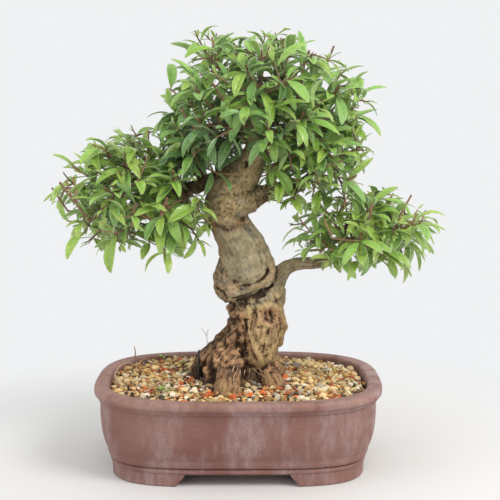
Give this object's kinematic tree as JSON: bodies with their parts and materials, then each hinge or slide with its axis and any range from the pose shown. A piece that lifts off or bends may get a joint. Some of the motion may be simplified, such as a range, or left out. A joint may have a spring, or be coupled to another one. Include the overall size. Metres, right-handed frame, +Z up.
{
  "type": "nejikan pomegranate bonsai",
  "caption": "Twisted-trunk pomegranate bonsai with leafy pads on woody limbs, rooted in gravel in a rounded, footed, unglazed clay pot.",
  "frame": {"origin": "middle of the base of the overall box, level with the flat undersides of the pot's feet", "axes": "+Z up; +X to the right and -Y towards the viewer, in the tree's front view"},
  "size_m": [0.384, 0.214, 0.4106],
  "materials": {
    "clay": "unglazed red-brown clay, matte, with pale lilac-grey bloom",
    "gravel": "dry cream grit mixed with red and dark grains, matte",
    "bark": "tan and grey-green bark, smooth above and knobbly below",
    "leaf": "glossy mid-green leaves with a pale midrib, on red-brown twigs",
    "wire": "thin dark coated wire, satin",
    "screen": "black plastic mesh, matte"
  },
  "bodies": {
    "root": {"drain_screen_left": "screen", "drain_screen_right": "screen", "pot": "clay", "soil": "gravel", "spray_crown_back": "leaf", "spray_crown_front": "leaf", "spray_crown_left_back": "leaf", "spray_crown_left_front": "leaf", "spray_crown_right": "leaf", "spray_crown_right_back": "leaf", "spray_crown_right_front": "leaf", "spray_crown_top": "leaf", "spray_crown_top_left": "leaf", "spray_crown_top_right": "leaf", "spray_left_back": "leaf", "spray_left_front": "leaf", "spray_left_inner": "leaf", "spray_left_tip": "leaf", "spray_left_top": "leaf", "spray_left_upper_back": "leaf", "spray_left_upper_front": "leaf", "spray_right_back": "leaf", "spray_right_front": "leaf", "spray_right_tip": "leaf", "spray_right_top": "leaf", "spray_shoulder_front": "leaf", "spray_shoulder_right": "leaf", "tie_wire": "wire", "trunk": "bark"}
  },
  "joints": []
}
